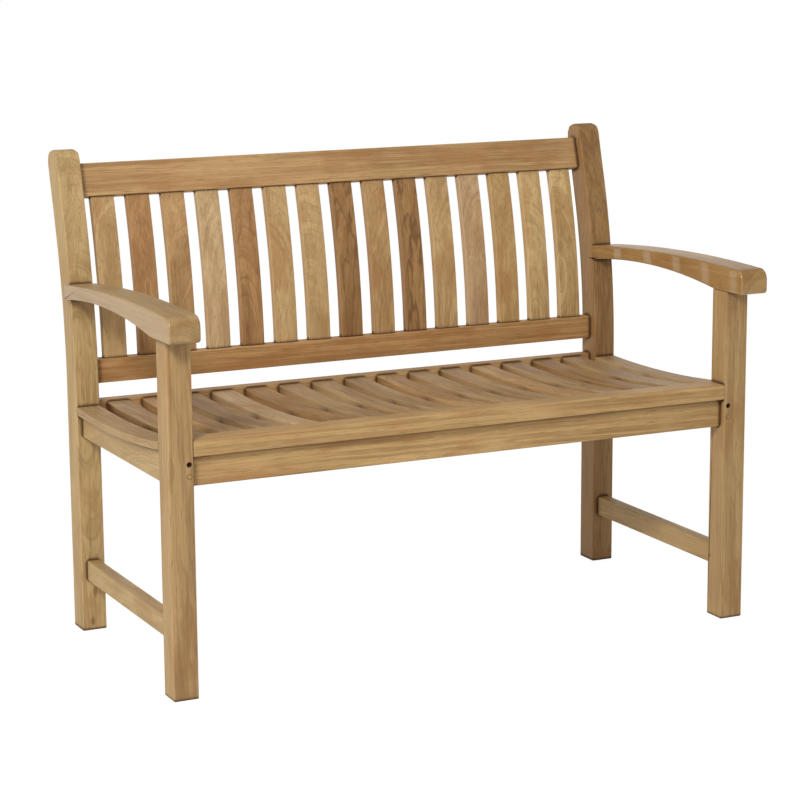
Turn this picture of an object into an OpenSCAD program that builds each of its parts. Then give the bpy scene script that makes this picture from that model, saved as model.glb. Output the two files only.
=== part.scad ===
// Two-seat slatted garden bench in solid teak.
// +X is to the right, +Y to the back and +Z up. The origin is on the ground, under the
// middle of the bench's outer box. All sizes are in millimetres.
// Distances called "depth" are measured back from the front faces of the front legs.

/* [Frame] */
// Width across the outer faces of the legs
frame_w = 1140; // [1090:10:1260]
// Depth from the front of the front legs to the back of the rear feet
frame_d = 526; // [510:2:560]
// Width of every leg, seen from the front
leg_w = 45; // [45:1:50]
// Depth of a front leg, seen from the side
front_leg_d = 47; // [47:1:52]
// Depth of a rear leg at the floor, seen from the side
rear_leg_d = 52; // [52:1:56]
// Thickness of all the rails and stretchers
rail_t = 24; // [22:1:26]

/* [Back] */
// Height of the rounded tops of the rear legs above the ground
back_h = 887; // [875:1:900]
// Lean of the upper back from the vertical, in degrees
rake = 16.1; // [15:0.1:17]
// Height at which the front face of a rear leg starts to curve back
bend_start = 438; // [430:1:445]
// Radius of that curve
bend_r = 1330; // [1280:10:1400]
// Lean of the rear face of a rear leg, in degrees
rear_rake = 13.8; // [13:0.1:14.5]
// Height at which the rear face starts to curve back
rear_bend_start = 455; // [450:1:465]
// Radius of the rear curve
rear_bend_r = 1140; // [1100:10:1200]
// Radius of the outer and inner corners of a rear leg's top, seen from the front
post_corner_r = 9; // [4:1:14]
// How far the rails stand behind the front faces of the rear legs
rail_setback = 20; // [17:1:21]
// Height of the top rail, along its lean
top_rail_h = 62; // [56:1:64]
// Height of the bottom rail's underside above the ground
bottom_rail_z = 461.5; // [455:0.5:470]
// Height of the bottom rail
bottom_rail_h = 44.5; // [40:0.5:50]
// Number of back slats
back_slats = 15; // [11:1:15]
// Width of a slat
slat_w = 45; // [40:1:48]
// Thickness of a slat
slat_t = 15; // [12:1:16]
// Gap between a rear leg and the slat next to it
end_gap = 20.5; // [15:0.5:28]

/* [Seat] */
// Height of the front seat rail's top above the ground
seat_h = 449; // [445:1:452]
// Height of the front seat rail
seat_rail_h = 28; // [26:1:30]
// Radius of the front seat rail's upper front edge
nosing_r = 6; // [3:1:9]
// Height of the lowest part of the dished seat above the ground
seat_low_z = 423; // [420:1:426]
// Depth at which the seat is lowest
seat_low_y = 372; // [350:2:390]
// Radius of the seat's dish, seen from the side
seat_r = 2600; // [2500:50:3000]
// Number of seat slats, without the two over the side rails
seat_slats = 15; // [11:1:15]
// Height of the rear seat rail's top above the ground
rear_rail_top = 430; // [429:1:434]
// Height of the undersides of the front, side and rear seat rails
apron_z = 368; // [360:1:374]
// How far the front apron stands behind the front legs' faces
apron_setback = 15; // [12:1:17]

/* [Side frames] */
// How far the side rails stand in from the outer faces of the legs
side_inset = 11; // [9:1:13]
// Height of a side stretcher's underside above the ground
stretcher_z = 96; // [80:1:120]
// Height of a side stretcher
stretcher_h = 38; // [32:1:45]

/* [Armrests] */
// Height of an armrest's flat underside above the ground
arm_under = 622; // [615:1:628]
// Height of an armrest's highest line above the ground
arm_crown = 669.5; // [664:0.5:674]
// Depth at which an armrest is highest
arm_crown_y = 105; // [90:5:120]
// Radius of an armrest's top, seen from the side
arm_top_r = 3700; // [3400:50:4200]
// Rise of the arch under an armrest
arch_rise = 16; // [10:1:20]
// Width of an armrest
arm_w = 56; // [52:1:60]
// How far an armrest reaches in front of its leg
arm_reach = 48; // [40:1:55]
// Radius of an armrest's nose at the top
nose_top_r = 20; // [12:1:22]
// Radius of an armrest's nose at the bottom
nose_low_r = 7; // [4:1:10]

/* [Joints] */
// Thickness of the rails' tenons
tenon_t = 12; // [10:1:12]
// Length of a tenon that enters a leg from its side
tenon_l = 25; // [20:1:28]
// Length of a tenon that enters a leg from the front or the back
short_tenon_l = 12; // [8:1:13]
// Gap left round a tenon, on each side
fit_gap = 0.2; // [0.1:0.05:0.3]
// Radius of the wooden pegs that lock the tenons
peg_r = 4; // [3:0.5:4.5]

/* [Hidden] */
// Colours
TEAK = [0.68, 0.53, 0.35];
TEAK_PALE = [0.75, 0.63, 0.44];
TEAK_WARM = [0.63, 0.44, 0.27];
TEAK_DARK = [0.52, 0.36, 0.22];
STEEL = [0.55, 0.55, 0.56];
TONES = [TEAK_PALE, TEAK, TEAK_WARM, TEAK_DARK];

// Tone of each slat, from the left, as the boards happened to be sawn
back_tones = [1, 2, 2, 1, 3, 0, 0, 3, 0, 3, 0, 2, 1, 0, 0];
seat_tones = [1, 1, 2, 1, 0, 1, 2, 1, 0, 1, 2, 1, 0, 0, 1];

// Names of the nodes
left = -1;
right = 1;
function two_digits(i) = str(i < 10 ? "0" : "", i);
function back_name(i) = str("back_slat_", two_digits(i));
function seat_name(i) = str("seat_slat_", two_digits(i));

// Across the bench
$fn = 48;
eps = 0.5;
half_w = frame_w / 2;
inner_x = half_w - leg_w;
span = 2 * inner_x;
side_x = half_w - side_inset - rail_t;
slat_room = span - 2 * end_gap - slat_w;
back_pitch = slat_room / (back_slats - 1);
seat_pitch = slat_room / (seat_slats - 1);

// The side view of a rear leg: points are [depth, height]
curve_steps = 16;
post_y = frame_d - rear_leg_d;
function front_curve(d, a) =
    [post_y + bend_r - (bend_r - d) * cos(a), bend_start + (bend_r - d) * sin(a)];
function rear_curve(a) =
    [frame_d + rear_bend_r * (1 - cos(a)), rear_bend_start + rear_bend_r * sin(a)];
function front_angle(d, z) = asin((z - bend_start) / (bend_r - d));
function front_line(z) = front_curve(0, rake)[0] + (z - front_curve(0, rake)[1]) * tan(rake);
function rear_line(z) =
    rear_curve(rear_rake)[0] + (z - rear_curve(rear_rake)[1]) * tan(rear_rake);
top_gap = rear_line(back_h) - front_line(back_h);
top_r = top_gap / (1 / cos(rake) + 1 / cos(rear_rake) + tan(rear_rake) - tan(rake));
top_z = back_h - top_r;
top_y = front_line(top_z) + top_r / cos(rake);

// The bench's front legs stand this far in front of the origin
y_front = (arm_reach - top_y - top_r) / 2;

// Back slats stand in the middle of the rails' thickness
slat_front = rail_setback + (rail_t - slat_t) / 2;
slat_back = slat_front + slat_t;
bottom_rail_top = bottom_rail_z + bottom_rail_h;

// Seat
seat_rail_z = seat_h - seat_rail_h;
seat_rear_y = post_y + rail_setback;
bearer_y = (front_leg_d + seat_rear_y) / 2;
bearer_h = 30;
function dish(y, drop) =
    seat_low_z + seat_r - sqrt(pow(seat_r + drop, 2) - pow(y - seat_low_y, 2));

// Armrests
arm_rear_y = front_curve(0, front_angle(0, arm_under))[0];
arch_half = (arm_rear_y - front_leg_d) / 2;
arch_r = (pow(arch_half, 2) + pow(arch_rise, 2)) / (2 * arch_rise);
function arm_top(y) =
    arm_crown - arm_top_r + sqrt(pow(arm_top_r, 2) - pow(y - arm_crown_y, 2));
function arch(y) =
    arm_under + arch_rise - arch_r
    + sqrt(pow(arch_r, 2) - pow(y - front_leg_d - arch_half, 2));

// Joints
slat_tenon_w = slat_w - 10;
slat_tenon_t = 9;
slat_tenon_l = 10;
seat_tenon_l = 8;
end_slat_tenon_l = 6;
arm_tenon_l = 18;
arm_tenon_w = 25;
apron_tenon_h = 40;
leg_screw_x = inner_x + 8;
leg_screw_z = apron_z + 41;
leg_plug_z = apron_z + 20;
counterbore_r = 4.6;
counterbore_l = 10;
shank_r = 2;
head_r = 4.2;
head_l = 3;

// An outline drawn in the side view, as [depth, height], made w wide from x
module across(x, w) {
    translate([x, y_front, 0])
        rotate([90, 0, 90])
            linear_extrude(w)
                children();
}

// A block placed by its lowest corner, with y as a depth
module block(x, y, z, size) {
    translate([x, y_front + y, z])
        cube(size);
}

// A round rod along X, from x inwards or outwards
module rod_x(x, y, z, r, l) {
    translate([x, y_front + y, z])
        rotate([0, 90, 0])
            cylinder(r = r, h = l);
}

// A round rod along Y, starting at depth y
module rod_y(x, y, z, r, l) {
    translate([x, y_front + y, z])
        rotate([-90, 0, 0])
            cylinder(r = r, h = l);
}

// Things for the right side are mirrored for the left
module on_side(side) {
    mirror([side == left ? 1 : 0, 0, 0])
        children();
}

module both_sides() {
    on_side(right) children();
    on_side(left) children();
}

// The leaning top of the back: z runs up the front face, y goes straight into it
module in_lean() {
    translate([0, y_front + front_curve(0, rake)[0], front_curve(0, rake)[1]])
        rotate([-rake, 0, 0])
            children();
}

// ---- Tenons, each with a gap round it when it is used to cut its mortise ----

module side_tenon(y, z, t, h, l, gap) {
    block(inner_x - eps, y - gap, z - gap, [l + eps + gap, t + 2 * gap, h + 2 * gap]);
}

module top_rail_tenon(gap) {
    margin = 9;
    in_lean()
        translate([inner_x - eps, rail_setback + (rail_t - tenon_t) / 2 - gap, margin - gap])
            cube([tenon_l + eps + gap, tenon_t + 2 * gap, top_rail_h - 2 * margin + 2 * gap]);
}

module rail_tenon(y, z, h, gap) {
    margin = 8;
    side_tenon(y + (rail_t - tenon_t) / 2, z + margin, tenon_t, h - 2 * margin, tenon_l, gap);
}

module bottom_rail_tenon(gap) {
    rail_tenon(post_y + rail_setback, bottom_rail_z, bottom_rail_h, gap);
}

module rear_seat_rail_tenon(gap) {
    rail_tenon(seat_rear_y, apron_z, rear_rail_top - apron_z, gap);
}

module front_apron_tenon(gap) {
    y = apron_setback + (rail_t - tenon_t) / 2;
    side_tenon(y, apron_z + 7, tenon_t, apron_tenon_h, tenon_l, gap);
}

module seat_front_rail_tenon(gap) {
    side_tenon(8, seat_rail_z + 8, 28, tenon_t, tenon_l - 5, gap);
}

// Tenons of a rail that runs from a front leg to a rear leg
module fore_aft_tenons(z, h, gap) {
    x = side_x + (rail_t - tenon_t) / 2 - gap;
    l = short_tenon_l + gap + eps;
    margin = 7;
    size = [tenon_t + 2 * gap, l, h - 2 * margin + 2 * gap];
    block(x, front_leg_d - l + eps, z + margin - gap, size);
    block(x, post_y - eps, z + margin - gap, size);
}

module side_apron_tenons(gap) {
    fore_aft_tenons(apron_z, 42, gap);
}

module stretcher_tenons(gap) {
    fore_aft_tenons(stretcher_z, stretcher_h, gap);
}

module leg_top_tenon(gap) {
    margin = 10;
    x = inner_x + margin - gap;
    y = margin - gap;
    size = [arm_tenon_w + 2 * gap, front_leg_d - 2 * margin + 2 * gap, arm_tenon_l + eps + gap];
    block(x, y, arm_under - eps, size);
}

module arm_rear_tenon(gap) {
    z = arm_under + 8 - gap;
    x = inner_x + 12 - gap;
    block(x, arm_rear_y - 1, z, [20 + 2 * gap, 22 + gap, tenon_t + 2 * gap]);
}

module end_slat_tenons(gap) {
    l = end_slat_tenon_l + gap + eps;
    x = inner_x + 5 - gap;
    size = [slat_tenon_w + 2 * gap, l, slat_tenon_t + 2 * gap];
    rear_mid = dish(post_y, slat_t / 2) - slat_tenon_t / 2 - gap;
    front_mid = dish(front_leg_d, slat_t / 2) - slat_tenon_t / 2 - gap;
    block(x, front_leg_d - l + eps, front_mid, size);
    block(x, post_y - eps, rear_mid, size);
}

module slat_foot_tenon(x, gap) {
    y = front_curve(slat_front + slat_t / 2, front_angle(slat_front, bottom_rail_top))[0];
    block(x + 5 - gap, y - slat_tenon_t / 2 - gap, bottom_rail_top - slat_tenon_l - gap,
        [slat_tenon_w + 2 * gap, slat_tenon_t + 2 * gap, slat_tenon_l + gap + eps]);
}

module slat_head_tenon(x, gap) {
    y = slat_front + (slat_t - slat_tenon_t) / 2 - gap;
    in_lean()
        translate([x + 5 - gap, y, -eps])
            cube([slat_tenon_w + 2 * gap, slat_tenon_t + 2 * gap, slat_tenon_l + gap + eps]);
}

module seat_slat_tenons(x, gap) {
    l = seat_tenon_l + gap + eps;
    size = [slat_tenon_w + 2 * gap, l, slat_tenon_t + 2 * gap];
    rear_mid = dish(seat_rear_y, slat_t / 2) - slat_tenon_t / 2 - gap;
    front_mid = dish(front_leg_d, slat_t / 2) - slat_tenon_t / 2 - gap;
    block(x + 5 - gap, front_leg_d - l + eps, front_mid, size);
    block(x + 5 - gap, seat_rear_y - eps, rear_mid, size);
}

module bearer_tenon(gap) {
    block(side_x - eps, bearer_y - 6 - gap, dish(bearer_y, slat_t) - 24 - gap,
        [8 + eps + gap, 12 + 2 * gap, 16 + 2 * gap]);
}

// ---- Pegs and screws, for the right side ----

module leg_screw(z, gap) {
    rod_y(leg_screw_x, counterbore_l - head_l, z, head_r + gap, head_l + gap);
    rod_y(leg_screw_x, counterbore_l - 1, z, shank_r + gap, 26 + gap);
}

module leg_plug(gap) {
    rod_y(leg_screw_x, 0, leg_plug_z, counterbore_r - 0.1 + gap, counterbore_l - head_l - 0.5);
}

module arm_peg(gap) {
    rod_x(inner_x, front_leg_d / 2, arm_under + 9, peg_r - 1 + gap, 34 + gap);
}

module stretcher_peg(y, gap) {
    rod_x(inner_x, y, stretcher_z + stretcher_h / 2, peg_r - 1 + gap, 30 + gap);
}

module side_stretcher_pegs(gap) {
    stretcher_peg(front_leg_d - short_tenon_l / 2, gap);
    stretcher_peg(post_y + short_tenon_l / 2, gap);
}

module side_rail_pegs(gap) {
    x = inner_x + 11;
    depth = rail_setback + 5;
    for (z = [20, top_rail_h - 20])
        in_lean()
            translate([x, depth, z])
                rotate([-90, 0, 0])
                    cylinder(r = peg_r + gap, h = 17 + gap);
    for (z = [bottom_rail_z + bottom_rail_h / 2, apron_z + 31])
        rod_y(x, post_y + depth, z, peg_r + gap, rear_leg_d - depth - 1 + gap);
}

module bearer_screw(x, gap) {
    z = dish(bearer_y, slat_t) - bearer_h;
    translate([x, y_front + bearer_y, z + 2])
        cylinder(r = head_r + gap, h = head_l + gap);
    translate([x, y_front + bearer_y, z + 2])
        cylinder(r = shank_r + gap, h = bearer_h + 7 + gap);
}

// ---- Outlines ----

module rear_leg_outline() {
    front = [for (i = [0 : curve_steps]) front_curve(0, rake * i / curve_steps)];
    rear = [for (i = [curve_steps : -1 : 0]) rear_curve(rear_rake * i / curve_steps)];
    dome_steps = 24;
    dome_turn = 180 - rake + rear_rake;
    dome = [for (i = [0 : dome_steps])
        let (a = 180 - rake - dome_turn * i / dome_steps)
        [top_y + top_r * cos(a), top_z + top_r * sin(a)]];
    polygon(concat([[post_y, 0]], front, dome, rear, [[frame_d, 0]]));
}

// The front view of a rear leg's top, with rounded corners
module post_front_view(w, h, r) {
    square([w, h - r]);
    translate([r, 0])
        square([w - 2 * r, h]);
    for (x = [r, w - r])
        translate([x, h - r])
            circle(r = r);
}

module back_slat_outline() {
    low = [for (d = [slat_front, slat_back]) front_angle(d, bottom_rail_top)];
    front = [for (i = [0 : curve_steps])
        front_curve(slat_front, low[0] + (rake - low[0]) * i / curve_steps)];
    rear = [for (i = [curve_steps : -1 : 0])
        front_curve(slat_back, low[1] + (rake - low[1]) * i / curve_steps)];
    polygon(concat(front, rear));
}

module seat_slat_outline(y0, y1) {
    ys = [for (i = [0 : curve_steps]) y0 + (y1 - y0) * i / curve_steps];
    top = [for (y = ys) [y, dish(y, 0)]];
    under = [for (i = [curve_steps : -1 : 0]) [ys[i], dish(ys[i], slat_t)]];
    polygon(concat(top, under));
}

module under_seat_outline(y0, y1, z) {
    ys = [for (i = [0 : curve_steps]) y0 + (y1 - y0) * i / curve_steps];
    polygon(concat([[y1, z], [y0, z]], [for (y = ys) [y, dish(y, slat_t)]]));
}

module seat_front_rail_outline() {
    turn = [for (a = [180 : -10 : 90])
        [nosing_r + nosing_r * cos(a), seat_h - nosing_r + nosing_r * sin(a)]];
    polygon(concat([[0, seat_rail_z]], turn, [[front_leg_d, seat_h], [front_leg_d, seat_rail_z]]));
}

module armrest_outline() {
    rear_y = arm_rear_y + 20;
    nose_y = -arm_reach;
    nose_z = arm_top(nose_y + nose_top_r) - nose_top_r;
    low = [for (a = [270 : -15 : 180])
        [nose_y + nose_low_r * (1 + cos(a)), arm_under + nose_low_r * (1 + sin(a))]];
    high = [for (a = [180 : -7.5 : 90])
        [nose_y + nose_top_r * (1 + cos(a)), nose_z + nose_top_r * sin(a)]];
    top_y0 = nose_y + nose_top_r;
    top = [for (i = [1 : curve_steps])
        let (y = top_y0 + (rear_y - top_y0) * i / curve_steps) [y, arm_top(y)]];
    under = [for (i = [0 : curve_steps])
        let (y = arm_rear_y - 2 * arch_half * i / curve_steps) [y, arch(y)]];
    polygon(concat(low, high, top, [[rear_y, arm_under]], under));
}

// ---- Sub-parts ----

module front_leg(side) {
    color(TEAK_PALE)
        on_side(side)
            difference() {
                union() {
                    block(inner_x, 0, 0, [leg_w, front_leg_d, arm_under]);
                    leg_top_tenon(0);
                }
                front_apron_tenon(fit_gap);
                seat_front_rail_tenon(fit_gap);
                side_apron_tenons(fit_gap);
                stretcher_tenons(fit_gap);
                end_slat_tenons(fit_gap);
                arm_peg(0.05);
                side_stretcher_pegs(0.05);
                for (z = [leg_screw_z, leg_plug_z]) {
                    rod_y(leg_screw_x, -eps, z, counterbore_r, counterbore_l + eps);
                    leg_screw(z, 0.1);
                }
            }
}

module rear_leg(side) {
    color(TEAK_PALE)
        on_side(side)
            difference() {
                intersection() {
                    across(inner_x, leg_w)
                        rear_leg_outline();
                    translate([inner_x, y_front + top_y + top_r + 1, 0])
                        rotate([90, 0, 0])
                            linear_extrude(top_y + top_r + 2 - post_y)
                                post_front_view(leg_w, back_h + eps, post_corner_r);
                }
                top_rail_tenon(fit_gap);
                bottom_rail_tenon(fit_gap);
                rear_seat_rail_tenon(fit_gap);
                side_apron_tenons(fit_gap);
                stretcher_tenons(fit_gap);
                end_slat_tenons(fit_gap);
                arm_rear_tenon(fit_gap);
                side_stretcher_pegs(0.05);
                side_rail_pegs(0.05);
            }
}

module armrest(side) {
    color(TEAK)
        on_side(side) {
            difference() {
                across(inner_x, arm_w)
                    armrest_outline();
                across(inner_x - eps, arm_w + 2 * eps)
                    rear_leg_outline();
                leg_top_tenon(fit_gap);
                arm_peg(0.05);
            }
            arm_rear_tenon(0);
        }
}

module back_top_rail() {
    color(TEAK)
        difference() {
            union() {
                in_lean()
                    translate([-inner_x, rail_setback, 0])
                        cube([span, rail_t, top_rail_h]);
                both_sides()
                    top_rail_tenon(0);
            }
            both_sides()
                side_rail_pegs(0.05);
            for (i = [0 : back_slats - 1])
                slat_head_tenon(i * back_pitch - slat_room / 2 - slat_w / 2, fit_gap);
        }
}

module back_bottom_rail() {
    color(TEAK_WARM)
        difference() {
            union() {
                block(-inner_x, post_y + rail_setback, bottom_rail_z, [span, rail_t, bottom_rail_h]);
                both_sides()
                    bottom_rail_tenon(0);
            }
            both_sides()
                side_rail_pegs(0.05);
            for (i = [0 : back_slats - 1])
                slat_foot_tenon(i * back_pitch - slat_room / 2 - slat_w / 2, fit_gap);
        }
}

module back_slat(i) {
    x = (i - 1) * back_pitch - slat_room / 2 - slat_w / 2;
    color(TONES[back_tones[i - 1]]) {
        across(x, slat_w)
            back_slat_outline();
        slat_foot_tenon(x, 0);
        slat_head_tenon(x, 0);
    }
}

module seat_front_rail() {
    color(TEAK)
        difference() {
            union() {
                across(-inner_x, span)
                    seat_front_rail_outline();
                both_sides()
                    seat_front_rail_tenon(0);
            }
            for (i = [0 : seat_slats - 1])
                seat_slat_tenons(i * seat_pitch - slat_room / 2 - slat_w / 2, fit_gap);
        }
}

module front_apron() {
    color(TEAK)
        difference() {
            union() {
                block(-inner_x, apron_setback, apron_z, [span, rail_t, seat_rail_z - apron_z]);
                both_sides()
                    front_apron_tenon(0);
            }
            both_sides()
                for (z = [leg_screw_z, leg_plug_z])
                    leg_screw(z, 0.1);
        }
}

module rear_seat_rail() {
    color(TEAK)
        difference() {
            union() {
                block(-inner_x, seat_rear_y, apron_z, [span, rail_t, rear_rail_top - apron_z]);
                both_sides()
                    rear_seat_rail_tenon(0);
            }
            both_sides()
                side_rail_pegs(0.05);
            for (i = [0 : seat_slats - 1])
                seat_slat_tenons(i * seat_pitch - slat_room / 2 - slat_w / 2, fit_gap);
        }
}

module seat_bearer() {
    half_d = rail_t / 2;
    underside = dish(bearer_y, slat_t) - bearer_h;
    color(TEAK_WARM)
        difference() {
            union() {
                across(-side_x, 2 * side_x)
                    under_seat_outline(bearer_y - half_d, bearer_y + half_d, underside);
                both_sides()
                    bearer_tenon(0);
            }
            for (i = [0 : seat_slats - 1]) {
                x = i * seat_pitch - slat_room / 2;
                bearer_screw(x, 0.1);
                translate([x, y_front + bearer_y, underside - eps])
                    cylinder(r = head_r + 0.1, h = 2 + 2 * eps);
            }
        }
}

module side_apron(side) {
    color(TEAK_PALE)
        on_side(side)
            difference() {
                union() {
                    across(side_x, rail_t)
                        under_seat_outline(front_leg_d, post_y, apron_z);
                    side_apron_tenons(0);
                }
                bearer_tenon(fit_gap);
            }
}

module side_stretcher(side) {
    color(TEAK_PALE)
        on_side(side)
            difference() {
                union() {
                    block(side_x, front_leg_d, stretcher_z,
                        [rail_t, post_y - front_leg_d, stretcher_h]);
                    stretcher_tenons(0);
                }
                side_stretcher_pegs(0.05);
            }
}

module seat_slat(i) {
    x = (i - 1) * seat_pitch - slat_room / 2 - slat_w / 2;
    color(TONES[seat_tones[i - 1]])
        difference() {
            union() {
                across(x, slat_w)
                    seat_slat_outline(front_leg_d, seat_rear_y);
                seat_slat_tenons(x, 0);
            }
            bearer_screw(x + slat_w / 2, 0.1);
        }
}

module seat_end_slat(side) {
    color(TEAK)
        on_side(side) {
            across(inner_x, leg_w)
                seat_slat_outline(front_leg_d, post_y);
            end_slat_tenons(0);
        }
}

module apron_screws() {
    color(STEEL)
        both_sides()
            for (z = [leg_screw_z, leg_plug_z])
                leg_screw(z, 0);
}

module leg_plugs() {
    color(TEAK_PALE)
        both_sides()
            leg_plug(0);
}

module arm_pegs() {
    color(TEAK_DARK)
        both_sides()
            arm_peg(0);
}

module stretcher_pegs() {
    color(TEAK_DARK)
        both_sides()
            side_stretcher_pegs(0);
}

module rail_pegs() {
    color(TEAK_DARK)
        both_sides()
            side_rail_pegs(0);
}

module bearer_screws() {
    color(STEEL)
        for (i = [0 : seat_slats - 1])
            bearer_screw(i * seat_pitch - slat_room / 2, 0);
}

front_leg(left);  // front_leg_left
front_leg(right);  // front_leg_right
rear_leg(left);  // rear_leg_left
rear_leg(right);  // rear_leg_right
armrest(left);  // armrest_left
armrest(right);  // armrest_right
back_top_rail();
back_bottom_rail();
for (i = [1 : back_slats])
    back_slat(i);
seat_front_rail();
front_apron();
rear_seat_rail();
seat_bearer();
side_apron(left);  // side_apron_left
side_apron(right);  // side_apron_right
side_stretcher(left);  // side_stretcher_left
side_stretcher(right);  // side_stretcher_right
for (i = [1 : seat_slats])
    seat_slat(i);
seat_end_slat(left);  // seat_end_slat_left
seat_end_slat(right);  // seat_end_slat_right
apron_screws();
leg_plugs();
arm_pegs();
stretcher_pegs();
rail_pegs();
bearer_screws();
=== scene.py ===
"""Looks for a slatted teak garden bench: eased edges, teak grain board by board, studio light."""

import math
import random

import bpy
import numpy as np
from mathutils import Matrix, Vector

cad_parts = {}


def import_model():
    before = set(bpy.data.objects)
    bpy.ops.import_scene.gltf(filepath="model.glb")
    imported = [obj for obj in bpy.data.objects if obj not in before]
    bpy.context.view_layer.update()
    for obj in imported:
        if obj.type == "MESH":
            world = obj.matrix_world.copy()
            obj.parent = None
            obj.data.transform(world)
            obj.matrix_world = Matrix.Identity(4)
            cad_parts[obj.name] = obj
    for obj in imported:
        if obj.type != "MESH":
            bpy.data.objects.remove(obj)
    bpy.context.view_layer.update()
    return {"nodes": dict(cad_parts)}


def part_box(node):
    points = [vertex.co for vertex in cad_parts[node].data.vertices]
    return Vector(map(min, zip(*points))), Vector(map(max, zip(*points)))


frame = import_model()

MM = 0.001
NODES = frame["nodes"]
rng = random.Random(20)

# ---------------------------------------------------------------- dimensions read from the frame

INNER_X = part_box("front_leg_right")[0].x
ARM_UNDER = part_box("armrest_right")[0].z
LEFT_POST_FRONT_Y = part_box("rear_leg_left")[0].y
BACK_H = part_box("rear_leg_right")[1].z
POST_DOME_Z = BACK_H - 12 * MM  # the rear legs' tops are rounded above this

# Repeated from part.scad, which this script can't read
BACK_RAKE = 16.1  # degrees
TOP_RAIL_H, BOTTOM_RAIL_H = 62, 44.5  # mm

# ---------------------------------------------------------------- eased edges

HARD_ANGLE = math.radians(38)  # flatter edges than this stay as they are
EASE_FROM = math.radians(20)  # rounding grows with an edge's angle from here, over EASE_RANGE
EASE_RANGE = math.radians(60)
EASE_SEGMENTS = 3
CREASE_ANGLE = math.radians(40)
FLAT_ANGLE = math.radians(0.3)
SHOULDER_EASE = 0.25  # tenon shoulders and mortises, as a share of a long arris's rounding

# In metres
WELD_GAP = 0.01 * MM
SAME_POINT = 0.02e-3
AT_FACE = 0.05e-3
OUTLINE_GRID = 0.1e-3
CLOSE_TO = 1e-4
LONG_EDGE = 0.3
ARM_REAR_Y = 0.2  # an armrest's edges behind this are where it meets the rear leg


def hard_edges(mesh):
    """Index, ends and dihedral angle of the mesh's sharp outer edges, and all its points.

    The frame's meshes are split along their creases, so each sharp edge is there twice: the two
    copies are paired by their midpoints.
    """
    co = np.empty(len(mesh.vertices) * 3)
    mesh.vertices.foreach_get("co", co)
    co = co.reshape(-1, 3)
    ends = np.empty(len(mesh.edges) * 2, int)
    mesh.edges.foreach_get("vertices", ends)
    ends = ends.reshape(-1, 2)
    faces_of_edge = {}
    for poly in mesh.polygons:
        for loop in poly.loop_indices:
            faces_of_edge.setdefault(mesh.loops[loop].edge_index, []).append(poly)
    by_middle = {}
    for index, polys in faces_of_edge.items():
        if len(polys) == 1:
            middle = (co[ends[index, 0]] + co[ends[index, 1]]) / 2
            key = tuple(np.round(middle / SAME_POINT).astype(int))
            by_middle.setdefault(key, []).append((index, polys[0]))
    found = []
    for pair in by_middle.values():
        if len(pair) != 2:
            continue
        one, other = pair[0][1], pair[1][1]
        angle = one.normal.angle(other.normal, 0.0)
        convex = (other.center - one.center).dot(one.normal) < 0
        if angle > HARD_ANGLE and convex:
            for index, _ in pair:
                found.append((index, co[ends[index, 0]], co[ends[index, 1]], angle))
    return found, co


def write_weights(mesh, name, weights):
    attribute = mesh.attributes.new(name, "FLOAT", "EDGE")
    values = np.zeros(len(mesh.edges))
    for index, weight in weights.items():
        values[index] = weight
    attribute.data.foreach_set("value", values)


def on_outline(co):
    """A test for points on the outline that a member shows on both its X faces."""
    low, high = co[:, 0].min(), co[:, 0].max()

    def rounded(points):
        return set(map(tuple, np.round(points[:, 1:] / OUTLINE_GRID).astype(int)))

    near = rounded(co[np.abs(co[:, 0] - low) < SAME_POINT])
    far = rounded(co[np.abs(co[:, 0] - high) < SAME_POINT])
    shared = near & far

    def test(p):
        at_face = min(abs(p[0] - low), abs(p[0] - high)) < AT_FACE
        return at_face and tuple(np.round(p[1:] / OUTLINE_GRID).astype(int)) in shared

    return test


def is_arris(kind, a, b, outline):
    """Whether the edge from a to b is one that a joiner rounds over on this kind of member."""
    if kind == "peg":
        return True
    if kind == "rail":
        return np.linalg.norm(b - a) > LONG_EDGE
    if not (outline(a) and outline(b)):
        return False
    along = np.abs(b - a) / max(np.linalg.norm(b - a), 1e-9)
    middle = (a + b) / 2
    if kind == "leg":
        return along[2] > 0.5 or middle[2] < CLOSE_TO
    if kind == "post":
        return along[2] >= 0.5 and middle[2] <= POST_DOME_Z
    if kind == "arm":
        at_rear = min(a[1], b[1]) > ARM_REAR_Y and along[2] > 0.5
        over_leg = abs(middle[0]) < INNER_X + CLOSE_TO and middle[2] < ARM_UNDER + CLOSE_TO
        return not at_rear and not (over_leg and along[1] > 0.9)
    return along["xyz".index(kind)] > 0.5


def eased_edges(node, kind):
    """Weight of each edge of a timber: long arrises are rounded, shoulders barely broken.

    kind is "leg", "post", "arm", "rail" or "peg", or the axis that a slat's arrises follow.
    """
    mesh = NODES[node].data
    edges, co = hard_edges(mesh)
    outline = on_outline(co)
    shoulder = 0.0 if kind == "post" else SHOULDER_EASE
    weights = {}
    for index, a, b, angle in edges:
        full = 1.0 if is_arris(kind, a, b, outline) else shoulder
        weights[index] = full * min(1.0, (angle - EASE_FROM) / EASE_RANGE)
    write_weights(mesh, "ease", weights)


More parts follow.
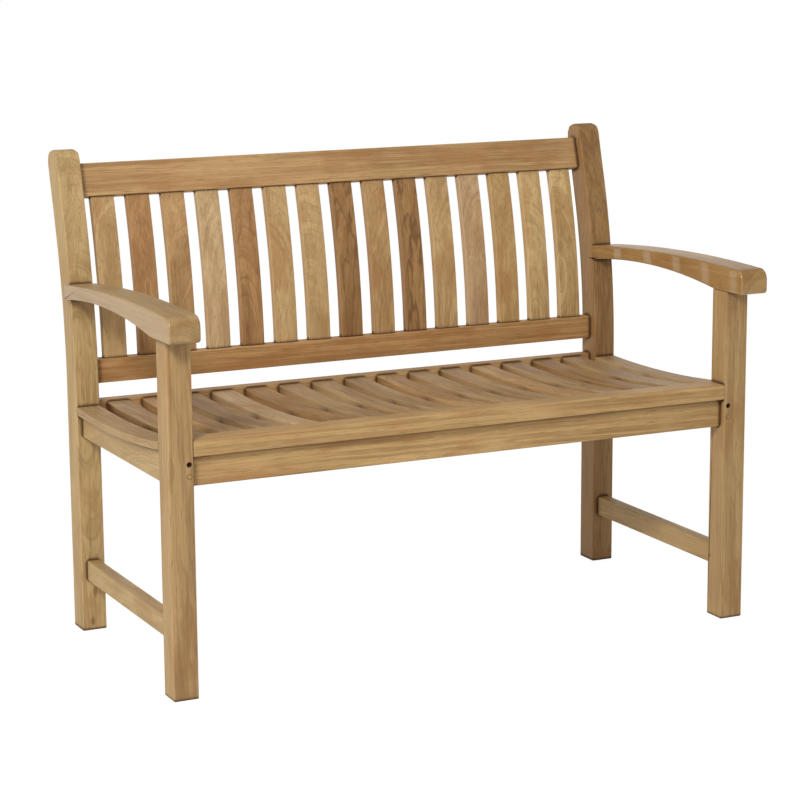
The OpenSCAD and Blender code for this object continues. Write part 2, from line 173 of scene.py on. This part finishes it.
def crease_group():
    """Geometry nodes that mark every edge over CREASE_ANGLE as sharp."""
    group = bpy.data.node_groups.new("mark_creases", "GeometryNodeTree")
    group.interface.new_socket("Geometry", in_out="INPUT", socket_type="NodeSocketGeometry")
    group.interface.new_socket("Geometry", in_out="OUTPUT", socket_type="NodeSocketGeometry")
    nodes, links = group.nodes, group.links
    source, target = nodes.new("NodeGroupInput"), nodes.new("NodeGroupOutput")
    all_smooth = nodes.new("GeometryNodeSetShadeSmooth")
    creased = nodes.new("GeometryNodeSetShadeSmooth")
    creased.domain = "EDGE"
    creased.inputs["Shade Smooth"].default_value = False
    angle = nodes.new("GeometryNodeInputMeshEdgeAngle")
    over = nodes.new("FunctionNodeCompare")
    over.operation = "GREATER_THAN"
    over.inputs[1].default_value = CREASE_ANGLE
    links.new(source.outputs[0], all_smooth.inputs["Geometry"])
    links.new(all_smooth.outputs[0], creased.inputs["Geometry"])
    links.new(angle.outputs["Unsigned Angle"], over.inputs[0])
    links.new(over.outputs[0], creased.inputs["Selection"])
    links.new(creased.outputs[0], target.inputs[0])
    return group


CREASES = crease_group()


def ease(node, kind, width):
    """Rounds a timber's long edges by width, and gives it clean normals."""
    o = NODES[node]
    eased_edges(node, kind)
    normals = o.data.attributes.get("custom_normal")
    if normals:
        o.data.attributes.remove(normals)
    weld = o.modifiers.new("weld", "WELD")
    weld.merge_threshold = WELD_GAP
    flat = o.modifiers.new("flat", "DECIMATE")
    flat.decimate_type = "DISSOLVE"
    flat.angle_limit = FLAT_ANGLE
    bevel = o.modifiers.new("ease", "BEVEL")
    bevel.limit_method = "WEIGHT"
    bevel.edge_weight = "ease"
    bevel.width = width
    bevel.segments = EASE_SEGMENTS
    bevel.use_clamp_overlap = False
    if kind == "post":
        bevel.offset_type = "ABSOLUTE"
    creases = o.modifiers.new("creases", "NODES")
    creases.node_group = CREASES
    soft = o.modifiers.new("normals", "WEIGHTED_NORMAL")
    soft.keep_sharp = True


# ---------------------------------------------------------------- node graphs


class Graph:
    """Short names for the nodes of a material or a world."""

    def __init__(self, owner):
        owner.use_nodes = True
        self.owner = owner
        self.tree = owner.node_tree
        self.tree.nodes.clear()

    def node(self, kind, values=None, **settings):
        n = self.tree.nodes.new(kind)
        for key, value in settings.items():
            setattr(n, key, value)
        for key, value in (values or {}).items():
            self.put(n.inputs[key], value)
        return n

    def put(self, socket, value):
        if isinstance(value, bpy.types.NodeSocket):
            self.tree.links.new(value, socket)
        else:
            socket.default_value = value

    def math(self, operation, a, b=0.0, c=0.0, clamp=False):
        n = self.node("ShaderNodeMath", {0: a, 1: b, 2: c}, operation=operation)
        n.use_clamp = clamp
        return n.outputs[0]

    def times(self, *factors):
        product = factors[0]
        for factor in factors[1:]:
            product = self.math("MULTIPLY", product, factor)
        return product

    def times_plus(self, value, factor, addend):
        return self.math("MULTIPLY_ADD", value, factor, addend)

    def off(self, value, level):
        """How far value is from level, either way."""
        return self.math("ABSOLUTE", self.math("SUBTRACT", value, level))

    def mix(self, factor, a, b):
        n = self.node("ShaderNodeMix", data_type="RGBA", blend_type="MIX")
        for socket, value in ((n.inputs[0], factor), (n.inputs[6], a), (n.inputs[7], b)):
            self.put(socket, value)
        return n.outputs[2]

    def combine(self, x, y, z):
        return self.node("ShaderNodeCombineXYZ", {0: x, 1: y, 2: z}).outputs[0]

    def separate(self, vector):
        return self.node("ShaderNodeSeparateXYZ", {0: vector}).outputs

    def noise(self, vector, scale, detail=2.0, roughness=0.5):
        n = self.node(
            "ShaderNodeTexNoise",
            {"Vector": vector, "Scale": scale, "Detail": detail, "Roughness": roughness},
        )
        return n.outputs["Fac"]

    def fade(self, value, low, high, at_low=0.0, at_high=1.0, curve="LINEAR"):
        """Turns value into at_low where it is low, and into at_high where it is high."""
        n = self.node(
            "ShaderNodeMapRange",
            {0: value, 1: low, 2: high, 3: at_low, 4: at_high},
            interpolation_type=curve,
        )
        return n.outputs[0]

    def smooth(self, value, low, high):
        return self.fade(value, low, high, curve="SMOOTHSTEP")

    def openness(self, reach):
        """1 in the open, and less where something is within reach."""
        n = self.node("ShaderNodeAmbientOcclusion", {"Distance": reach}, samples=8)
        return n.outputs["AO"]

    def surface(self, shader, kind="ShaderNodeOutputMaterial"):
        """Ends the graph in a shader, and gives the material or world that it belongs to."""
        self.tree.links.new(shader.outputs[0], self.node(kind).inputs[0])
        return self.owner


def rgb(r, g, b):
    return (r, g, b, 1.0)


def shade(tone, tint):
    return rgb(*[t * k for t, k in zip(tone, tint)])


def new_material(name):
    return Graph(bpy.data.materials.new(name))


# ---------------------------------------------------------------- teak

AXES = {"x": (1, 2, 0), "y": (0, 2, 1), "z": (0, 1, 2)}  # across, across and along the grain
KNOT_LENGTHEN = 0.45  # what grows round a knot is longer along the grain by one over this

TRUNK_SWING, TRUNK_SWAY = 0.045, 0.035  # how far, in metres, the heart of a crooked tree strays

# Noise drawn out along the grain: stretch, cells per metre, then detail and roughness
FIBRE = (0.022, 260.0, 4.0, 0.62)
BROAD = (0.06, 42.0)
BLOTCH = (0.35, 24.0, 3.0, 0.55)
DASHES = (0.06, 430.0, 2.0, 0.6)
PORES = (0.03, 950.0, 2.0, 0.7)
VEINS = (0.05, 34.0, 3.0)
CLEARINGS = (0.5, 9.0)

# Tints are factors on the board's own red, green and blue. Its ground colour lies between these
EARLY_WOOD = (1.28, 1.31, 1.33)
LATE_WOOD = (0.73, 0.66, 0.58)

# Every other mark has the strength with which it shows, then its tint
WARM_BLOTCH = 0.62, (0.88, 0.72, 0.58)
PALE_BLOTCH = 0.58, (1.12, 1.18, 1.18)
RING_LINE = 1.0, (0.62, 0.52, 0.44)
DASH = 0.54, (0.60, 0.50, 0.40)
PORE = 0.36, (0.55, 0.48, 0.42)
HEARTWOOD = 0.5, (0.66, 0.55, 0.48)
HEART_STREAK = 1.0, (0.52, 0.42, 0.34)
KNOT = 0.70, (0.46, 0.34, 0.24)
PLUG_RIM = 0.85, (0.30, 0.19, 0.13)
# paler arrises, partly wear and partly a painted highlight
ARRIS_WEAR_AND_HIGHLIGHT = 1.0, (1.30, 1.32, 1.34)
# painted shade in corners and crevices where boards meet
CREVICE_SHADE = 0.92, (0.17, 0.10, 0.06)
# painted shade deep in narrow gaps between boards
GAP_SHADE = 1.0, (0.30, 0.18, 0.09)
# greyer tops, partly a dry bloom and partly a painted sheen
BLOOM_AND_SHEEN = 1.0, (0.92, 1.0, 1.18)

# How far away, in metres, a neighbour still brings painted shade into a crevice or a deep gap
CREVICE_SHADE_REACH = 10 * MM
GAP_SHADE_REACH = 40 * MM

# The surface as it is sawn, and where hands have rubbed it to a gloss
BUMP = 0.38, 0.02
BUMP_DEPTH = 0.3 * MM
ROUGHNESS = 0.48, 0.03
FIBRE_ROUGHNESS = 0.22, 0.04
BLOOM_ROUGHNESS = 0.0, 0.42
SPECULAR = 0.35, 0.85
SPECULAR_GREEN = 1.0, 0.88
SPECULAR_BLUE = 1.0, 0.55


class Board:
    """The coordinates of one board: u and v across the grain, w along it, from its middle."""

    def __init__(self, g, node, axis, tilt, deep):
        low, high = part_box(node)
        middle = (low + high) / 2
        self.g = g
        self.order = AXES[axis]
        self.parts = g.separate(g.node("ShaderNodeTexCoord").outputs["Object"])
        u, v, self.w = [g.math("SUBTRACT", self.parts[i], middle[i]) for i in self.order]
        if tilt:
            cos, sin = math.cos(math.radians(tilt)), math.sin(math.radians(tilt))
            across = g.times_plus(u, cos, g.times(v, -sin))
            u, v = across, g.times_plus(u, sin, g.times(v, cos))
        self.u, self.v = u, v
        self.seed = rng.uniform(0, 40)
        self.w_seeded = g.math("ADD", self.w, self.seed)
        if axis == "x":
            self.from_middle, self.half = g.math("ABSOLUTE", v), deep / 2 * MM
        else:
            self.from_middle, self.half = g.math("ABSOLUTE", u), (high.x - low.x) / 2

    def noise(self, stretch, scale, detail=2.0, roughness=0.5):
        """Noise drawn out along the grain: stretch is across over along."""
        along_grain = self.g.times(self.w_seeded, stretch)
        place = self.g.combine(self.u, self.v, along_grain)
        return self.g.noise(place, scale, detail, roughness)

    def distance(self, centre):
        """Distance to a point, counted less along the grain, so what grows round it is long."""
        squash = [KNOT_LENGTHEN if i == self.order[2] else 1.0 for i in range(3)]
        here = self.g.combine(*[self.g.times(p, k) for p, k in zip(self.parts, squash)])
        there = tuple(c * k for c, k in zip(centre, squash))
        n = self.g.node("ShaderNodeVectorMath", {0: here, 1: there}, operation="DISTANCE")
        return n.outputs["Value"]

    def from_pith(self, pith, lean, wander):
        """Distance from the heart of the tree, which wanders as the trunk did."""
        g = self.g
        swing = g.math("SUBTRACT", self.noise(0.35, 6.0, 3.0), 0.5)
        sway = g.math("SUBTRACT", g.noise(g.combine(self.w_seeded, self.u, self.v), 9.0), 0.5)
        squares = []
        for across, stray, reach, i in (
            (self.u, swing, TRUNK_SWING, 0),
            (self.v, sway, TRUNK_SWAY, 1),
        ):
            straight = g.math("ADD", across, g.times_plus(self.w, lean[i], pith[i] * MM))
            squares.append(g.math("POWER", g.times_plus(stray, reach * wander, straight), 2.0))
        return g.math("SQRT", g.math("ADD", *squares))


def teak(name, node, axis, tone, pith, lean=(0.03, 0.01), ring=6.0, figure=0.5, vein=0.0,
         wander=0.6, knots=(), tilt=0.0, deep=0.0, polish=0.0, dark_sides=False, rims=()):
    """Solid teak: irregular growth rings round a pith line, streaks, pores, knots, wear, painted
    shade and sheen.

    axis is the way the grain runs. pith is the distance from the board's middle to the heart of the
    tree in mm, across the grain. lean tilts that line, which draws the arches of a flat-sawn face.
    ring is the width of a growth ring in mm, and figure how strongly the rings show. vein is the
    strength of the dark heartwood streaks, and wander how crooked the tree grew. knots are places
    and radii. tilt turns a raked rail's own axes upright, and deep is a rail's height in mm. polish
    is 1 where hands have rubbed the wood to a gloss. dark_sides is for a board whose sides
    face a narrow gap, and paints shade on those sides, deeper where the gap closes in. rims are the
    places and radii of plugs, which have a dark line round them.
    """
    g = new_material(name)
    board = Board(g, node, axis, tilt, deep)
    from_pith = board.from_pith(pith, lean, wander)

    def stain(colour, mark, *shares):
        strength, tint = mark
        return g.mix(g.times(*shares, strength), colour, shade(tone, tint))

    def rubbed(surface):
        sawn, glossy = surface
        return sawn + (glossy - sawn) * polish

    # the rings flow round a knot
    knot_dark = None
    for centre, size in knots:
        reach = board.distance(centre)
        from_pith = g.times_plus(g.smooth(reach, size * 3.0, size), size * 2.5, from_pith)
        core = g.smooth(reach, size * 1.1, size * 0.4)
        knot_dark = core if knot_dark is None else g.math("MAXIMUM", knot_dark, core)

    # rings of uneven width: a band of late wood and a fine dark line where each begins
    steps = g.math("DIVIDE", from_pith, ring * MM)
    growth = g.noise(g.combine(steps, board.seed, 0.0), 1.3, 3.0, 0.6)
    band = g.smooth(growth, 0.40, 0.62)
    line = g.smooth(g.off(growth, 0.5), 0.045, 0.0)
    clear = g.smooth(board.noise(*CLEARINGS), 0.36, 0.58)

    # streaks run with the grain; the finest ones are the pores
    fibre = board.noise(*FIBRE)
    broad = board.noise(*BROAD)
    broad_part = g.smooth(broad, 0.35, 0.65)
    blotch = board.noise(*BLOTCH)
    dash = g.smooth(board.noise(*DASHES), 0.57, 0.68)
    pore = g.smooth(board.noise(*PORES), 0.56, 0.70)

    dark = g.times(band, clear, figure)
    dark = g.times_plus(g.smooth(fibre, 0.34, 0.68), 0.44, dark)
    dark = g.times_plus(g.smooth(broad, 0.34, 0.66), 0.36, dark)
    dark = g.math("SUBTRACT", dark, 0.14, clamp=True)
    colour = g.mix(dark, shade(tone, EARLY_WOOD), shade(tone, LATE_WOOD))
    colour = stain(colour, WARM_BLOTCH, g.smooth(blotch, 0.50, 0.66))
    colour = stain(colour, PALE_BLOTCH, g.smooth(blotch, 0.48, 0.32))
    colour = stain(colour, RING_LINE, line, clear, figure)
    colour = stain(colour, DASH, dash)
    colour = stain(colour, PORE, pore)
    if vein:
        flow = board.noise(*VEINS)
        colour = stain(colour, HEARTWOOD, g.smooth(flow, 0.48, 0.64), vein)
        colour = stain(colour, HEART_STREAK, g.smooth(g.off(flow, 0.52), 0.035, 0.0), vein)
    if knot_dark is not None:
        colour = stain(colour, KNOT, knot_dark)
    for centre, radius in rims:
        edge = board.distance(centre)
        on_rim = g.smooth(edge, radius - 1.0 * MM, radius - 0.3 * MM)
        this_plug = g.math("LESS_THAN", edge, radius * 2)
        colour = stain(colour, PLUG_RIM, on_rim, this_plug)

    # handled arrises are paler, partly from wear and partly as a painted highlight; painted shade
    # darkens the corners where boards meet
    arris = g.smooth(board.from_middle, board.half - 3.0 * MM, board.half - 0.6 * MM)
    colour = stain(colour, ARRIS_WEAR_AND_HIGHLIGHT, arris, g.times_plus(broad_part, 0.35, 0.12))
    # painted shade where neighbouring parts close in, as in joints and under overhangs
    grime_and_shade = g.smooth(g.openness(CREVICE_SHADE_REACH), 0.88, 0.62)
    colour = stain(colour, CREVICE_SHADE, grime_and_shade)
    normal = g.separate(g.node("ShaderNodeNewGeometry").outputs["Normal"])
    # painted shade on the sides that face a narrow gap, deeper where the gap closes in
    if dark_sides:
        side = g.smooth(g.math("ABSOLUTE", normal[0]), 0.5, 0.9)
        colour = stain(colour, GAP_SHADE, side, g.smooth(g.openness(GAP_SHADE_REACH), 0.72, 0.38))

    # faces that look up are greyer, partly a dry bloom and partly a painted sheen, and keep it
    # where the rest is polished
    up = g.smooth(normal[2], 0.45, 0.95)
    colour = stain(colour, BLOOM_AND_SHEEN, up, g.times_plus(broad_part, 0.12, 0.08))
    rough = g.times_plus(fibre, rubbed(FIBRE_ROUGHNESS), rubbed(ROUGHNESS))
    rough = g.times_plus(up, rubbed(BLOOM_ROUGHNESS), rough)

    height = g.times_plus(fibre, 0.7, g.times(line, -0.15))
    height = g.times_plus(dash, -0.25, height)
    height = g.times_plus(pore, -0.5, height)
    bump = g.node(
        "ShaderNodeBump",
        {"Height": height, "Strength": rubbed(BUMP), "Distance": BUMP_DEPTH},
    )
    shader = g.node(
        "ShaderNodeBsdfPrincipled",
        {
            "Base Color": colour,
            "Roughness": g.times_plus(grime_and_shade, 0.2, rough),
            "Normal": bump.outputs[0],
            "Specular IOR Level": rubbed(SPECULAR),
            "Specular Tint": rgb(1.0, rubbed(SPECULAR_GREEN), rubbed(SPECULAR_BLUE)),
        },
    )
    return g.surface(shader)


def steel(name):
    """Dull screws, stained a dark red brown in their holes."""
    g = new_material(name)
    grime_and_shade = g.noise(g.node("ShaderNodeTexCoord").outputs["Object"], 900.0, 3.0)
    stained, bare = rgb(0.05, 0.02, 0.01), rgb(0.12, 0.05, 0.025)
    shader = g.node(
        "ShaderNodeBsdfPrincipled",
        {
            "Base Color": g.mix(g.smooth(grime_and_shade, 0.35, 0.7), bare, stained),
            "Metallic": 0.9,
            "Roughness": g.times_plus(grime_and_shade, 0.3, 0.5),
        },
    )
    return g.surface(shader)


def paint(node, material):
    slots = NODES[node].data.materials
    slots.clear()
    slots.append(material)


# ---------------------------------------------------------------- the bench's boards

# Tones of teak as linear colours, given board by board
GOLD = (0.52, 0.348, 0.155)
PALE = (0.47, 0.315, 0.162)
STRAW = (0.458, 0.295, 0.131)
HONEY = (0.435, 0.268, 0.108)
SAND = (0.398, 0.263, 0.113)
TAN = (0.408, 0.243, 0.102)
FAWN = (0.366, 0.228, 0.096)
TAWNY = (0.315, 0.196, 0.079)
ORANGE = (0.41, 0.227, 0.086)
ROSE = (0.460, 0.298, 0.157)
RUST = (0.357, 0.192, 0.074)
CHESTNUT = (0.315, 0.178, 0.066)
BROWN = (0.318, 0.172, 0.064)
BARK = (0.29, 0.164, 0.060)
UMBER = (0.305, 0.163, 0.059)
DUSK = (0.358, 0.229, 0.105)

# Tone of each slat from the left, then the strength of its dark heartwood streaks
BACK_SLATS = (
    (STRAW, 0.0), (RUST, 0.3), (TAN, 0.3), (PALE, 0.0), (RUST, 0.5),
    (STRAW, 0.0), (STRAW, 0.1), (UMBER, 0.7), (TAN, 0.3), (BROWN, 0.9),
    (STRAW, 0.2), (ROSE, 0.2), (HONEY, 0.2), (GOLD, 0.2), (GOLD, 0.3),
)
SEAT_SLATS = (
    (DUSK, 0.4), (TAN, 0.7), (DUSK, 0.6), (PALE, 0.4), (CHESTNUT, 0.7),
    (DUSK, 0.5), (DUSK, 0.7), (DUSK, 0.6), (TAN, 0.6), (DUSK, 0.4),
    (DUSK, 0.6), (TAN, 0.4), (DUSK, 0.7), (CHESTNUT, 0.6), (DUSK, 0.4),
)


def timber(node, kind, width, axis, tone, pith, **look):
    """Eases a board's edges by width mm, and gives it its own teak."""
    ease(node, kind, width * MM)
    paint(node, teak("teak_" + node, node, axis, tone, pith, **look))


def rail(node, tone, pith, deep, width=2.2, ring=8, lean=0.01, **look):
    timber(
        node, "rail", width, "x", tone, pith, deep=deep, ring=ring, lean=(lean, lean),
        wander=0.2, **look,
    )


def frame_timbers():
    timber("front_leg_left", "leg", 2.4, "z", FAWN, (20, 70), ring=9, lean=(0.03, 0.02), vein=0.4)
    timber("front_leg_right", "leg", 2.4, "z", FAWN, (-60, 60), ring=8, figure=0.3, vein=0.35)
    knots = [
        ((-0.545, LEFT_POST_FRONT_Y, 0.073), 6 * MM),
        ((-0.551, LEFT_POST_FRONT_Y, 0.016), 5 * MM),
    ]
    timber(
        "rear_leg_left", "post", 2.4, "z", SAND, (5, 55), ring=26, lean=(0.02, 0.16),
        figure=0.42, vein=0.25, knots=knots,
    )
    timber("rear_leg_right", "post", 2.4, "z", BARK, (50, 40), ring=9, lean=(0.02, 0.06), vein=0.4)
    arm = {"ring": 9, "lean": (0.02, 0.05)}
    timber("armrest_left", "arm", 3.5, "y", TAWNY, (15, 60), figure=0.4, polish=0.5, **arm)
    timber("armrest_right", "arm", 3.5, "y", CHESTNUT, (-30, 60), figure=0.35, polish=1.0, **arm)
    rail("back_top_rail", TAN, (40, 90), deep=TOP_RAIL_H, lean=0.008, tilt=BACK_RAKE)
    rail("back_bottom_rail", ORANGE, (60, 60), deep=BOTTOM_RAIL_H, lean=0.008)
    rail("seat_front_rail", HONEY, (60, 50), deep=40, width=2.6, ring=9)
    rail("front_apron", HONEY, (80, 60), deep=60)
    rail("rear_seat_rail", TAN, (60, 50), deep=60)
    rail("seat_bearer", TAN, (60, 50), deep=20, width=2.0)
    for side in ("left", "right"):
        for node, pith, lean in (
            ("side_apron_", (70, 30), (0.08, 0.02)),
            ("side_stretcher_", (60, 30), (0.03, 0.02)),
        ):
            timber(node + side, "y", 2.0, "y", SAND, pith, ring=9, lean=lean)


def slats():
    for rows, name, axis in ((BACK_SLATS, "back_slat", "z"), (SEAT_SLATS, "seat_slat", "y")):
        for i, (tone, vein) in enumerate(rows, 1):
            pith = (rng.uniform(-50, 50), rng.uniform(25, 90))
            lean = (rng.uniform(-0.05, 0.05), rng.uniform(0.0, 0.12))
            timber(
                f"{name}_{i:02d}", axis, 2.0, axis, tone, pith, lean=lean,
                ring=rng.uniform(9, 16), figure=rng.uniform(0.30, 0.55), vein=vein,
                dark_sides=name == "seat_slat",
            )
    for side in ("left", "right"):
        timber("seat_end_slat_" + side, "y", 2.0, "y", DUSK, (40, 60), ring=9, lean=(0.03, 0.05))


def fasteners():
    low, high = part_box("leg_plugs")
    radius = (high.z - low.z) / 2
    rims = [((x, low.y, low.z + radius), radius) for x in (low.x + radius, high.x - radius)]
    timber("leg_plugs", "peg", 0.3, "y", TAWNY, (8, 5), ring=3, rims=rims)
    for node in ("arm_pegs", "stretcher_pegs"):
        timber(node, "peg", 0.3, "x", UMBER, (8, 5), ring=3, deep=10)
    timber("rail_pegs", "peg", 0.3, "y", BROWN, (8, 5), ring=3)
    metal = steel("dull_screw")
    for node in ("apron_screws", "bearer_screws"):
        paint(node, metal)


# ---------------------------------------------------------------- studio

CAMERA_AZIMUTH = math.radians(25.85)
CAMERA_DOWN = math.radians(11.50)
CAMERA_ROLL = math.radians(-0.37)
CAMERA_PLACE = Vector((-1.9668, -4.0376, 1.3223))
CAMERA_SENSOR = 36.0
CAMERA_LENS = 111.14
CAMERA_SHIFT_Y = 0.0085

FLOOR_REACH = 40.0
PAPER_GREY = 0.86
PAPER_GLOW = 1.04
PAPER_EVENNESS = 0.94  # how much of the paper that the camera sees is even light

# Brightness of the room's lower half in front and behind, and of its ceiling, and the parts of a
# direction, along Y and Z, over which one turns into the next
LOW_FRONT = 0.62
LOW_BACK = 0.22
OVERHEAD = 0.57
FRONT_TO_BACK = -0.35, 0.35
LOW_TO_OVERHEAD = 0.3, 0.55
FILL_GREY = 0.8

LIGHTS_AIM = (0, 0, 0.45)
SOFTBOXES = (  # name, place, width and height in m, power in W
    ("key", (-2.6, -2.55, 2.8), 0.9, 0.9, 108),
    ("left_fill", (-3.8, -0.3, 1.2), 2.4, 2.0, 20),
    ("overhead", (0.0, -0.2, 3.6), 2.6, 2.0, 16),
    ("backdrop", (0.0, 4.2, 1.0), 3.0, 1.6, 30),
    ("back_right", (2.7, 3.3, 1.35), 2.0, 1.2, 14),
)


def into_scene(name, data):
    o = bpy.data.objects.new(name, data)
    bpy.context.collection.objects.link(o)
    return o


def camera():
    data = bpy.data.cameras.new("camera")
    data.sensor_width = CAMERA_SENSOR
    data.lens = CAMERA_LENS
    data.shift_y = CAMERA_SHIFT_Y
    data.clip_end = 100.0
    o = into_scene("camera", data)
    forward = Vector(
        (
            math.sin(CAMERA_AZIMUTH) * math.cos(CAMERA_DOWN),
            math.cos(CAMERA_AZIMUTH) * math.cos(CAMERA_DOWN),
            -math.sin(CAMERA_DOWN),
        )
    )
    turn = forward.to_track_quat("-Z", "Y").to_matrix() @ Matrix.Rotation(CAMERA_ROLL, 3, "Z")
    o.matrix_world = Matrix.Translation(CAMERA_PLACE) @ turn.to_4x4()
    bpy.context.scene.camera = o


def softbox(name, place, width, height, power):
    data = bpy.data.lights.new(name, "AREA")
    data.shape = "RECTANGLE"
    data.size, data.size_y = width, height
    data.energy = power
    o = into_scene(name, data)
    o.location = place
    o.rotation_mode = "QUATERNION"
    o.rotation_quaternion = (Vector(LIGHTS_AIM) - Vector(place)).to_track_quat("-Z", "Y")


def paper(name):
    """Seamless white paper. The camera sees it evenly lit, so that shadows on it stay faint."""
    g = new_material(name)
    diffuse = g.node("ShaderNodeBsdfDiffuse", {"Color": rgb(PAPER_GREY, PAPER_GREY, PAPER_GREY)})
    glow = g.node("ShaderNodeEmission", {"Color": rgb(1, 1, 1), "Strength": PAPER_GLOW})
    ray = g.node("ShaderNodeLightPath").outputs
    seen = g.math("MAXIMUM", ray["Is Camera Ray"], ray["Is Glossy Ray"])
    even = g.times(seen, PAPER_EVENNESS)
    blend = g.node("ShaderNodeMixShader", {0: even, 1: diffuse.outputs[0], 2: glow.outputs[0]})
    return g.surface(blend)


def floor():
    r = FLOOR_REACH
    mesh = bpy.data.meshes.new("floor")
    mesh.from_pydata([(-r, -r, 0), (r, -r, 0), (r, r, 0), (-r, r, 0)], [], [(0, 1, 2, 3)])
    mesh.materials.append(paper("paper"))
    into_scene("floor", mesh)


def world():
    """White where the camera sees it; its light is dimmer, and differs by direction."""
    g = Graph(bpy.data.worlds.new("studio"))
    toward = g.separate(g.node("ShaderNodeTexCoord").outputs["Generated"])
    low = g.fade(toward[1], *FRONT_TO_BACK, LOW_FRONT, LOW_BACK)
    is_ceiling = g.fade(toward[2], *LOW_TO_OVERHEAD)
    level = g.node("ShaderNodeMix", {0: is_ceiling, 2: low, 3: OVERHEAD}).outputs[0]
    grey = rgb(FILL_GREY, FILL_GREY, FILL_GREY)
    fill = g.node("ShaderNodeBackground", {"Color": grey, "Strength": level})
    seen = g.node("ShaderNodeBackground", {"Color": rgb(1, 1, 1), "Strength": 1.0})
    by_camera = g.node("ShaderNodeLightPath").outputs["Is Camera Ray"]
    ends = {0: by_camera, 1: fill.outputs[0], 2: seen.outputs[0]}
    blend = g.node("ShaderNodeMixShader", ends)
    bpy.context.scene.world = g.surface(blend, "ShaderNodeOutputWorld")


def studio():
    camera()
    world()
    floor()
    for box in SOFTBOXES:
        softbox(*box)
    bpy.context.scene.view_settings.view_transform = "Standard"


frame_timbers()
slats()
fasteners()
studio()
